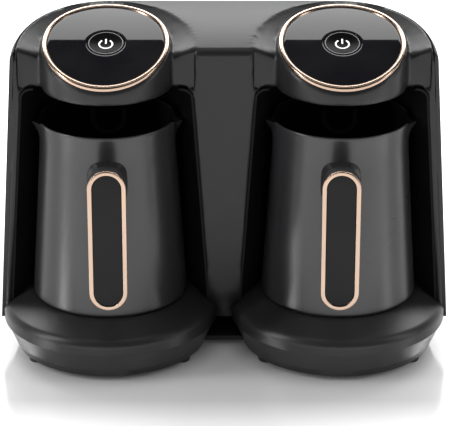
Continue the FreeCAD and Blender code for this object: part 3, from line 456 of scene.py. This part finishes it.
def potShell(side, sign):
    rim, wall = pot["rim"], pot["wall"]
    outer = np.array([[0, pot["floor"]], [pot["lowRad"] - wall - 0.6, pot["floor"]],
                      [pot["lowRad"] - wall - 0.4, pot["foot"] + 1.4], [pot["lowRad"] - 0.9, pot["foot"]],
                      [pot["lowRad"], pot["foot"] + 1.5], [pot["lowRad"], pot["foot"] + 4],
                      [pot["neckRad"], pot["neck"]], [pot["rimRad"], rim]])
    low = softChain(outer, [0.3, 0.4, 0.5, 1.0, 3.0, 9.0], 7)
    up = fineChain(low, 4.0)
    rimTurn = np.linspace(0, math.pi, 7)[1:-1]
    lip = np.stack([pot["rimRad"] - wall / 2 + np.cos(rimTurn) * wall / 2,
                    rim - wall / 2 + np.sin(rimTurn) * wall / 2], -1)
    up[-1, 1] = rim - wall / 2
    inner = np.array([[pot["rimRad"] - wall, rim - wall / 2], [pot["neckRad"] - wall, pot["neck"]],
                      [pot["lowRad"] - wall - 0.6, pot["floor"] + wall], [0, pot["floor"] + wall]])
    down = fineChain(softChain(inner, [9.0, 3.0], 7), 4.0)
    chain = np.concatenate([up, lip, down])
    depth = np.concatenate([np.zeros(len(up)), np.linspace(0, wall, len(lip) + 2)[1:-1], np.full(len(down), wall)])
    angle = circleAngles(pot["around"])[None, :]
    z = chain[:, 1:] + 0 * angle
    radius = potRadius(chain[:, :1] + 0 * angle, angle, z, depth[:, None])
    tip = smoothStep(np.abs(np.cos(angle)), math.cos(0.36), 1.0)
    z = z - pot["spoutDip"] * tip * smoothStep(z, rim - 17, rim)
    points = np.stack([radius * np.cos(angle), radius * np.sin(angle), z], -1)
    piece = gridPiece(f"potShell_{side}", placed(points, sign, -pot["turn"] * sign), "pot_coating", f"pot_{side}",
                      (f"pot_body_{side}",), sharp=50)
    # Faces above the floor that look towards the axis, or up from the floor, take the darker inner coating.
    mesh = piece.data
    mesh.materials.append(skins["pot_inside"])
    centre = np.empty(len(mesh.polygons) * 3, np.float32)
    normal = np.empty(len(mesh.polygons) * 3, np.float32)
    mesh.polygons.foreach_get("center", centre)
    mesh.polygons.foreach_get("normal", normal)
    centre, normal = centre.reshape(-1, 3) * 1000 - np.array([unitX * sign, axisY, 0]), normal.reshape(-1, 3)
    outwards = (centre[:, 0] * normal[:, 0] + centre[:, 1] * normal[:, 1]) / np.hypot(centre[:, 0], centre[:, 1])
    between = (centre[:, 2] > pot["floor"] + 0.7) & (centre[:, 2] < rim - 0.9)
    inner = between & ((outwards < -0.3) | (normal[:, 2] > 0.9))
    mesh.polygons.foreach_set("material_index", inner.astype(np.int32))


# Level mark: a raised U on the far inner wall, a flat oval carried along the line of the U.
mark = {"half": 10.4, "top": 153.4, "bend": 145.7, "wide": 1.5, "rise": 1.0}


def levelMark(side, sign):
    straight = np.linspace(0, 1, 8)[:-1]
    bend = np.linspace(0, math.pi, 33)
    x = np.concatenate([np.full(7, mark["half"]), mark["half"] * np.cos(bend), np.full(7, -mark["half"])])
    z = np.concatenate([mark["top"] + (mark["bend"] - mark["top"]) * straight,
                        mark["bend"] - mark["half"] * np.sin(bend),
                        mark["bend"] + (mark["top"] - mark["bend"]) * (1 - straight[::-1])])
    wallRad = potWall(z) - pot["wall"]
    line = np.stack([x, np.sqrt(wallRad ** 2 - x ** 2), z], -1)
    along = np.gradient(line, axis=0)
    along /= np.linalg.norm(along, axis=1, keepdims=True)
    inward = -line * np.array([1, 1, 0]) / wallRad[:, None]
    aside = np.cross(along, inward)
    place = np.linspace(0, 1, len(x))
    ends = np.sqrt(np.clip(1 - np.clip(np.abs(place * 2 - 1) * 1.04 - 0.04, 0, 1) ** 30, 0, 1))
    angle = circleAngles(16)[None, :, None]
    size = ends[:, None, None]
    points = line[:, None] + aside[:, None] * np.cos(angle) * mark["wide"] * size
    points = points + inward[:, None] * np.sin(angle) * mark["rise"] * size
    gridPiece(f"levelMark_{side}", placed(points, sign, -pot["turn"] * sign), "mark_coat", f"pot_{side}",
              sharp=60)


for sideName, sideSign in sides:
    potShell(sideName, sideSign)
    levelMark(sideName, sideSign)
print("pots made")

# Handles
handle = {
    "half": 12.3, "low": 57.8, "high": 153.6, "front": 78.0, "back": 66.0, "trimWide": 2.9, "trimDeep": 2.4,
    "trimEdge": 0.9, "inlayDrop": 0.7, "inlayCrown": 0.45, "backEdge": 3.5, "neckHalf": 7.6, "neckFlare": 6.0,
    "neckTop": 144.6, "neckLow": 120.6,
}


# Capsule outline drawn in by inset: half circles above and below, joined by straight sides.
def capsuleRing(inset, bend=24, straight=10):
    r = np.maximum(handle["half"] - inset, 0.0)
    topZ, lowZ = handle["high"] - handle["half"], handle["low"] + handle["half"]
    arc = np.linspace(0, math.pi, bend)
    side = np.linspace(0, 1, straight + 2)[1:-1]
    unitSide = np.concatenate([np.cos(arc), -np.ones(straight), -np.cos(arc), np.ones(straight)])
    unitUp = np.concatenate([np.sin(arc), np.zeros(straight), -np.sin(arc), np.zeros(straight)])
    middle = np.concatenate([np.full(bend, topZ), topZ + (lowZ - topZ) * side,
                             np.full(bend, lowZ), lowZ + (topZ - lowZ) * side])
    return r[..., None] * unitSide, middle + r[..., None] * unitUp


# Rings of the capsule, one for each pair of inset and distance ahead of the pot's axis.
def capsuleForm(chain):
    x, z = capsuleRing(chain[:, 0])
    return np.stack([x, -chain[:, 1:] + 0 * x, z], -1)


def handlePieces(side, sign):
    turn = -pot["turn"] * sign
    body = f"pot_{side}"
    front, back, half, deep = handle["front"], handle["back"], handle["half"], handle["trimDeep"]
    wide, edge = handle["trimWide"], handle["trimEdge"]
    frameChain = softChain([(0.6, front - deep), (0, front - deep), (0, front), (wide, front),
                            (wide, front - deep), (wide - 0.6, front - deep)], [0.1, edge, edge * 0.7, 0.1], 6)
    gridPiece(f"handleFrame_{side}", placed(capsuleForm(frameChain), sign, turn), "rose_metal", body,
              (f"handle_trim_{side}",), closedRows=True, sharp=55)
    face = front - handle["inlayDrop"]
    inset = np.concatenate([[wide + 0.15, wide + 0.15], np.linspace(wide + 0.35, half, 12)])
    ahead = np.concatenate([[front - deep, face - 0.35],
                            face + handle["inlayCrown"] * (1 - ((half - inset[2:]) / (half - wide - 0.35)) ** 2)])
    inlayChain = np.concatenate([[[half, front - deep]], np.stack([inset, ahead], -1)])
    gridPiece(f"handleInlay_{side}", placed(capsuleForm(inlayChain), sign, turn), "inlay", body,
              (f"handle_inlay_{side}",), sharp=50)
    gripChain = softChain([(half, front - deep), (0, front - deep), (0, back), (half, back)],
                          [0.4, handle["backEdge"]], 9)
    gripForm = placed(capsuleForm(fineChain(gripChain, 3.0)), sign, turn)
    gridPiece(f"handleGrip_{side}", gripForm, "grip", body, (f"handle_grip_{side}",), sharp=50)
    # The neck leaves the pot's wall in a wide flare and narrows to the grip; its section is a rounded oblong.
    s = np.linspace(0, 1, 22)[:, None]
    flare = (1 - s) ** 2.6
    angle = circleAngles(72)[None, :]
    c, n = np.cos(angle), np.sin(angle)
    sideways = np.sign(c) * np.abs(c) ** 0.62
    upward = np.sign(n) * np.abs(n) ** 0.62
    x = sideways * (handle["neckHalf"] + handle["neckFlare"] * flare)
    middle = (handle["neckTop"] + handle["neckLow"]) / 2
    tall = (handle["neckTop"] - handle["neckLow"]) / 2
    z = middle + upward * (tall + 3.2 * flare)
    wallRad = potWall(z) - 0.8
    wallY = -np.sqrt(np.maximum(wallRad ** 2 - x ** 2, 1.0))
    y = wallY + (-(back + 1.0) - wallY) * s
    points = np.stack([x, y, z], -1)
    centre = lambda row: np.broadcast_to(row.mean(0), row.shape)[None]
    points = np.concatenate([centre(points[0]), points, centre(points[-1])])
    gridPiece(f"handleNeck_{side}", placed(points, sign, turn), "pot_coating", body, sharp=60)


for sideName, sideSign in sides:
    handlePieces(sideName, sideSign)
print("handles made")

# Heads
head = {
    "crownRad": 322.0, "tilt": 20.9, "crownZ": 214.6, "ringOut": 41.25, "ringIn": 38.05, "ringDeep": 3.4,
    "ringEdge": 1.2, "ringWiden": 1.1, "ringRaise": 0.8, "panelDrop": 0.8, "panelRad": 37.95, "eyeRad": 12.5,
    "buttonY": -0.5, "buttonRad": 12.2,
    "buttonDish": 1.1, "symbolRad": 4.3, "symbolLine": 1.05, "symbolGap": 0.62,
}
tiltAngle = math.radians(head["tilt"])
crownMidY = head["crownRad"] * math.sin(tiltAngle)
crownMidZ = head["crownZ"] - head["crownRad"] * math.cos(tiltAngle)


# Height of the arched top, a cylinder that lies across the machine, lowered by inset.
def crownHeight(y, inset):
    return crownMidZ + np.sqrt((head["crownRad"] - inset) ** 2 - (y - crownMidY) ** 2)


buttonZ = head["crownZ"] + head["buttonY"] * math.tan(tiltAngle) - head["panelDrop"] / math.cos(tiltAngle)


# Points given square to the panel, about the centre of the button.
def onPanel(points):
    c, s = math.cos(tiltAngle), math.sin(tiltAngle)
    x, y, z = points[..., 0], points[..., 1], points[..., 2]
    return np.stack([x, head["buttonY"] + y * c - z * s, buttonZ + y * s + z * c], -1)


def trimRing(side, sign):
    chain = softChain([(head["ringOut"] - 0.5, -head["ringDeep"]), (head["ringOut"], -head["ringDeep"]),
                       (head["ringOut"], 0), (head["ringIn"] + 1.1, -0.05), (head["ringIn"], -1.5),
                       (head["ringIn"], -head["ringDeep"])], [0.1, head["ringEdge"], 0.8, 0.5], 8)
    angle = circleAngles(256)[None, :]
    ahead = smoothStep(-np.sin(angle), -0.2, 1.0)
    high = smoothStep(chain[:, 1:], -2.0, -0.6)
    inside = smoothStep(-chain[:, :1], -head["ringIn"] - 1.0, -head["ringIn"])
    radius = chain[:, :1] - head["ringWiden"] * ahead * inside
    lift = chain[:, 1:] + head["ringRaise"] * ahead * high
    x, y = radius * np.cos(angle), radius * np.sin(angle)
    points = np.stack([x, y, crownHeight(y, -lift)], -1)
    gridPiece(f"headRing_{side}", placed(points, sign), "rose_metal", "machine",
              (f"trim_ring_{side}",), closedRows=True, sharp=55)


# The panel spans from the round eye of the button to the ring; its height follows the arched top.
def topPanel(side, sign):
    angle = circleAngles(256)[None, :]
    share = np.concatenate([[0, 0, 0.004], np.linspace(0.02, 0.98, 24), [0.996, 1, 1]])[:, None]
    lift = np.concatenate([[-2.4, -0.35, -0.08], np.zeros(24), [-0.08, -0.35, -2.4]])[:, None]
    eyeX = head["eyeRad"] * np.cos(angle)
    eyeY = head["buttonY"] + head["eyeRad"] * np.sin(angle) * math.cos(tiltAngle)
    x = eyeX + (head["panelRad"] * np.cos(angle) - eyeX) * share
    y = eyeY + (head["panelRad"] * np.sin(angle) - eyeY) * share
    points = np.stack([x, y, crownHeight(y, head["panelDrop"] - lift)], -1)
    gridPiece(f"topPanel_{side}", placed(points, sign), "panel", "machine", (f"top_panel_{side}",),
              closedRows=True, sharp=50)


def buttonFace(radius):
    return -0.3 - head["buttonDish"] * (1 - np.clip(radius / (head["buttonRad"] - 1.5), 0, 1) ** 2)


def powerButton(side, sign):
    rad = head["buttonRad"]
    dishRad = np.linspace(0, rad - 1.5, 14)
    bowl = np.stack([dishRad, buttonFace(dishRad)], -1)
    skirt = softChain([(rad - 1.5, -0.3), (rad - 0.9, -0.28), (rad - 0.2, -0.55), (rad - 0.2, -3.2), (0, -3.2)],
                      [0.2, 0.25, 0.3], 5)
    face = turned(np.concatenate([bowl, skirt[1:]]), 128)
    gridPiece(f"powerButton_{side}", placed(onPanel(face), sign), "button_face", f"button_{side}",
              (f"power_button_{side}",), sharp=50)
    band = softChain([(rad - 1.45, -0.5), (rad - 1.4, -0.22), (rad - 0.9, -0.2), (rad - 0.75, -0.5),
                      (rad - 0.75, -1.2), (rad - 1.45, -1.2)], [0.1, 0.15, 0.2, 0.1], 4)
    gridPiece(f"buttonRing_{side}", placed(onPanel(turned(band, 128)), sign), "button_ring", f"button_{side}",
              closedRows=True, sharp=50)
    # Power symbol: an open ring and a short bar, thin and laid on the dished face.
    gap, mid, line = head["symbolGap"], head["symbolRad"], head["symbolLine"] / 2
    angle = np.linspace(math.pi / 2 + gap, math.pi * 2.5 - gap, 61)[:, None]
    across = np.array([-1, -0.8, 0.8, 1, 1, -1])[None, :]
    lift = np.array([0.02, 0.09, 0.09, 0.02, -0.2, -0.2])[None, :]
    r = mid + line * across + 0 * angle
    ringPart = np.stack([r * np.cos(angle), r * np.sin(angle), buttonFace(r) + lift], -1)
    along = np.linspace(0.55, mid + 0.9, 12)[:, None]
    x = line * across + 0 * along
    y = along + 0 * across
    barPart = np.stack([x, y, buttonFace(np.hypot(x, y)) + lift], -1)
    for tag, part in (("Arc", ringPart), ("Bar", barPart)):
        ends = [np.broadcast_to(part[i].mean(0), part[i].shape)[None] for i in (0, -1)]
        closed = np.concatenate([ends[0], part, ends[1]])
        gridPiece(f"symbol{tag}_{side}", placed(onPanel(closed), sign), "symbol_white", f"button_{side}", sharp=40)


# Underside plate with a shallow recess, and the domed sensor lens in it.
under = {"low": 184.4, "rad": 36.2, "recessRad": 30.0, "recess": 0.6, "thick": 2.6, "lensRad": 3.15,
         "lensY": -20.0, "lensProud": 1.2}


def headUnderside(side, sign):
    low = under["low"]
    chain = softChain([(0, low + under["recess"]), (under["recessRad"], low + under["recess"]),
                       (under["recessRad"] + 1, low), (under["rad"], low), (under["rad"], low + under["thick"]),
                       (0, low + under["thick"])], [0.5, 0.4, 0.5, 0.2], 5)
    # The plate takes the bay finish, whose darker colour is painted shade.
    gridPiece(f"headUnderside_{side}", placed(turned(fineChain(chain, 6.0)), sign), "bay", "machine",
              (f"head_underside_{side}",), sharp=45)
    rise = np.linspace(0, math.pi / 2, 8)
    dome = np.stack([under["lensRad"] * np.sin(rise), low + 0.4 - (under["lensProud"] + 0.4) * np.cos(rise)], -1)
    top = low + under["thick"] - 0.3
    lens = np.concatenate([dome, [[under["lensRad"], top], [0, top]]])
    shift = np.array([0, under["lensY"], 0])
    gridPiece(f"sensorLens_{side}", placed(turned(lens, 40) + shift, sign), "lens", "machine",
              (f"sensor_lens_{side}",), sharp=50)


for sideName, sideSign in sides:
    trimRing(sideName, sideSign)
    topPanel(sideName, sideSign)
    powerButton(sideName, sideSign)
    headUnderside(sideName, sideSign)
print("heads made")

# Base
base = {
    "seat": 40.0, "seatRad": 52.8, "edgeRad": 72.3, "edgeZ": 29.2, "edge": 3.2, "low": 21.85, "wall": 2.4,
    "eyeRad": 19.0, "front": -8.3, "bayHalf": 66.0, "bayRad": 54.0, "bayMouth": 14.0,
}


# How far the cover may reach in each direction: freely in front, to the bay's walls behind the front plane.
def bayReach(angle):
    c, s = np.cos(angle), np.sin(angle)
    mouth = math.radians(base["bayMouth"])
    turnX, turnY = base["bayRad"] * math.cos(mouth), base["bayRad"] * math.sin(mouth)
    slopeX = (turnX - base["bayHalf"]) / (turnY + 8.0)
    side = (base["bayHalf"] + slopeX * 8.0) / np.maximum(np.abs(c) - slopeX * s, 1e-3)
    inner = np.where(s * base["bayRad"] > turnY, base["bayRad"], side)
    return np.where(side * s < base["front"], 1e3, inner)


def baseTop(side, sign):
    top = softChain([(base["eyeRad"], base["seat"] - 2.0), (base["eyeRad"], base["seat"]),
                     (base["seatRad"], base["seat"]),
                     (base["edgeRad"] - base["edge"] + 0.6, base["edgeZ"] + base["edge"]),
                     (base["edgeRad"], base["edgeZ"]), (base["edgeRad"], base["low"]),
                     (base["edgeRad"] - base["wall"], base["low"]),
                     (base["edgeRad"] - base["wall"], base["edgeZ"] - 1.5), (base["eyeRad"], base["seat"] - 2.4)],
                    [0.4, 2.0, 2.6, 2.4, 0.5, 0.3, 0.5], 8)
    chain = fineChain(top, 0.8)
    angle = circleAngles(360)[None, :]
    reach = bayReach(angle)
    radius = np.minimum(chain[:, :1] + 0 * angle, reach)
    points = np.stack([radius * np.cos(angle), radius * np.sin(angle), chain[:, 1:] + 0 * angle], -1)
    gridPiece(f"baseTop_{side}", placed(points, sign), "base", "machine", (f"base_top_{side}",),
              closedRows=True, sharp=38)


# Rubber feet, turned, with a soft lower edge and a shallow ring groove.
def feet():
    for node in sorted(n for n in frame["nodes"] if n.startswith("foot_")):
        low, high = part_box(node)
        centre = (low + high) * 500
        rad, tall = (high.x - low.x) * 500, high.z * 1000
        chain = softChain([(0, 0.0), (rad - 2.6, 0.0), (rad - 2.2, 0.5), (rad - 1.6, 0.0), (rad - 0.5, 0.0),
                           (rad, 1.2), (rad, tall), (0, tall)], [0.2, 0.2, 0.2, 0.5, 0.6, 0.3], 5)
        points = turned(chain, 64) + np.array([centre.x, centre.y, 0])
        gridPiece(f"rubber_{node}", points, "rubber", "machine", (node,), sharp=50)


for sideName, sideSign in sides:
    baseTop(sideName, sideSign)
feet()
print("base made")

# Housing, its inner walls and the rear
# The bay liners take the bay finish, whose darker colour is painted shade.
copied = {
    "front_housing": ("frontHousing", 40), "rear_shell": ("rearShell", 32), "base_chassis": ("baseChassis", 32),
    "rear_cover": ("rearCover", 32), "cord_gland": ("cordGland", 40), "bay_liner_left": ("bayLiner_left", 32),
    "bay_liner_right": ("bayLiner_right", 32), "base_connector_left": ("connector_left", 40),
    "base_connector_right": ("connector_right", 40),
}
for nodeName, (pieceName, sharpAngle) in copied.items():
    smoothCopy(nodeName, pieceName, slotOf(nodeName), sharpAngle)

# Screws of the rear cover and the underside: a low dome with a cross cut into it.
screw = {"rad": 3.1, "rise": 0.7, "slotWide": 0.75, "slotDeep": 0.6}


def screwHead(name, place, lean):
    radius = np.concatenate([np.linspace(0, screw["rad"] * 0.95, 14), [screw["rad"], screw["rad"]]])[:, None]
    angle = circleAngles(96)[None, :]
    x, y = radius * np.cos(angle), radius * np.sin(angle)
    dome = screw["rise"] * np.sqrt(np.clip(1 - (radius / screw["rad"]) ** 2, 0, 1)) + 0 * angle
    near = np.minimum(np.abs(x), np.abs(y))
    cross = (1 - smoothStep(near, screw["slotWide"] * 0.5, screw["slotWide"] * 0.8)) * (np.hypot(x, y) < 2.1)
    z = dome - screw["slotDeep"] * cross
    z[-1] = -0.8
    closed = np.concatenate([np.stack([x, y, z], -1), np.broadcast_to([0.0, 0.0, -0.8], (1, 96, 3))])
    c, s = math.cos(lean), math.sin(lean)
    px, py, pz = closed[..., 0], closed[..., 1], closed[..., 2]
    points = np.stack([px, py * c - pz * s, py * s + pz * c], -1) + np.array(place)
    gridPiece(name, points, "screw_steel", "machine", sharp=45)


# The cover leans forward at the shell's slope; its screws stand square to it.
rear = {"slope": 13.8 / 218.4, "seamRad": 73.8, "seamZ": 21.6, "frontPlane": 8.0, "screwX": 36.5}
coverScrews = ((-1, 60.0), (1, 60.0), (-1, 176.0), (1, 176.0))
for index, (sideSign, height) in enumerate(coverScrews):
    backY = rear["seamRad"] - rear["slope"] * (height - rear["seamZ"]) - rear["frontPlane"] + axisY
    lean = -math.pi / 2 - math.atan(rear["slope"])
    screwHead(f"coverScrew_{index + 1}", (rear["screwX"] * sideSign, backY, height), lean)
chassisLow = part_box("base_chassis")[0]
chassisScrews = ((-118.0, 6.0), (118.0, 6.0), (-40.0, 24.0), (40.0, 24.0))
for index, (x, y) in enumerate(chassisScrews):
    screwHead(f"baseScrew_{index + 1}", (x, y, chassisLow.z * 1000), math.pi)

for nodeName, node in frame["nodes"].items():
    node.data.materials.clear()
    node.data.materials.append(skins[slotOf(nodeName)])
print("housing made")


# Studio
studio = {
    "floor": (0.95, 0.95, 0.95), "floorRough": 0.16, "floorShine": 0.55, "fadeStart": -0.085, "fadeEnd": -0.15,
    "backStart": 0.12, "backEnd": 0.35, "reach": 12.0, "wallY": 3.0, "wallTop": 2.6,
    "skyDiffuse": 1.12, "skyGloss": 0.02, "backdrop": 1.0,
}


# Each card: compass angle, elevation and distance, then its width, height and glow.
cards = {
    "backCard": (0, 49.4, 1.5, 2.6, 0.5, 9.3), "leftCard": (-108, 20, 1.5, 0.16, 1.2, 20.0),
    "rightCard": (104, 18, 0.9, 0.18, 0.7, 4.0), "fillCard": (180, 80, 1.6, 1.4, 0.8, 0.7),
}
middle = (0, 0, 0.2)


def lightCard(name, place, target, wide, tall, glow):
    data = bpy.data.lights.new(name, "AREA")
    data.shape = "RECTANGLE"
    data.size, data.size_y = wide, tall
    data.energy = glow * math.pi * wide * tall
    lamp = bpy.data.objects.new(name, data)
    bpy.context.scene.collection.objects.link(lamp)
    lamp.location = place
    lamp.rotation_euler = (Vector(target) - Vector(place)).to_track_quat("-Z", "Y").to_euler()
    lamp.visible_camera = False


# A place seen from the middle of the machine at that compass angle (0 is behind, 90 right) and elevation.
def around(compass, elevation, distance):
    a, e = math.radians(compass), math.radians(elevation)
    level = distance * math.cos(e)
    return (math.sin(a) * level, math.cos(a) * level, middle[2] + distance * math.sin(e))


# A flat stage piece through four corners.
def stageSheet(name, corners):
    mesh = bpy.data.meshes.new(name)
    mesh.from_pydata(corners, [], [(0, 1, 2, 3)])
    sheet = bpy.data.objects.new(name, mesh)
    bpy.context.scene.collection.objects.link(sheet)
    return sheet


for cardName, (compass, elevation, distance, wide, tall, glow) in cards.items():
    lightCard(cardName, around(compass, elevation, distance), middle, wide, tall, glow)

reach, wallY, wallTop = studio["reach"], studio["wallY"], studio["wallTop"]
floorObject = stageSheet("studioFloor", [(-reach, -reach, 0), (reach, -reach, 0), (reach, reach, 0),
                                         (-reach, reach, 0)])
# The paper is matt; a sheen that fades in front and behind carries the soft mirror image under the machine.
floorSurface, floorPlace = startSkin("floor_paper")
floorSurface.inputs["Base Color"].default_value = (*studio["floor"], 1)
floorPlace.feed(floorSurface.inputs["Roughness"], 0.8 + (floorPlace.noise(6.0, 2.0) - 0.5) * 0.02)
floorSurface.inputs["Specular IOR Level"].default_value = 0.0
mirror = floorPlace.make("ShaderNodeBsdfGlossy", Color=(0.96, 0.96, 0.96), Roughness=studio["floorRough"])
fade = floorPlace.axis("Y").ramp(studio["fadeEnd"], studio["fadeStart"], 0.0, studio["floorShine"])
fade = fade * floorPlace.axis("Y").ramp(studio["backStart"], studio["backEnd"], 1.0, 0.0)
paper = Wire(floorPlace.tree, floorSurface.outputs["BSDF"])
mixed = floorPlace.make("ShaderNodeMixShader", i0=fade, i1=paper, i2=mirror)
floorTree = skins["floor_paper"].node_tree
floorTree.links.new(mixed.socket, floorTree.nodes["Material Output"].inputs["Surface"])
floorObject.data.materials.append(skins["floor_paper"])

# White wall far behind, seen only in reflections, so that glossy faces show the white background.
wallObject = stageSheet("studioWall", [(-reach, wallY, 0), (reach, wallY, 0), (reach, wallY, wallTop),
                                       (-reach, wallY, wallTop)])
wallSurface = startSkin("wall_white")[0]
wallSurface.inputs["Base Color"].default_value = (0, 0, 0, 1)
wallSurface.inputs["Emission Color"].default_value = (1, 1, 1, 1)
wallSurface.inputs["Emission Strength"].default_value = studio["backdrop"]
wallObject.data.materials.append(skins["wall_white"])
wallObject.visible_camera = False
wallObject.visible_diffuse = False
wallObject.visible_shadow = False

world = bpy.data.worlds.new("studioSky")
bpy.context.scene.world = world
world.use_nodes = True
sky = world.node_tree
background = sky.nodes["Background"]
path = Wire(sky, sky.nodes.new("ShaderNodeLightPath").outputs["Is Camera Ray"])
gloss = Wire(sky, path.socket.node.outputs["Is Glossy Ray"])
skyTone = gloss.blend((studio["skyDiffuse"],) * 3, (studio["skyGloss"],) * 3)
path.feed(background.inputs["Color"], path.blend(skyTone, (1.0, 1.0, 1.0)))

cameraData = bpy.data.cameras.new("camera")
cameraData.lens = 178.75
cameraData.sensor_width = 36
cameraData.shift_x = 0.0042
cameraData.shift_y = -0.0345
camera = bpy.data.objects.new("camera", cameraData)
bpy.context.scene.collection.objects.link(camera)
camera.location = (0, -1.3903 + axisY / 1000, 0.6626)
camera.rotation_euler = (math.radians(68.15), 0, 0)
bpy.context.scene.camera = camera
bpy.context.scene.view_settings.view_transform = "Standard"
print("studio made")
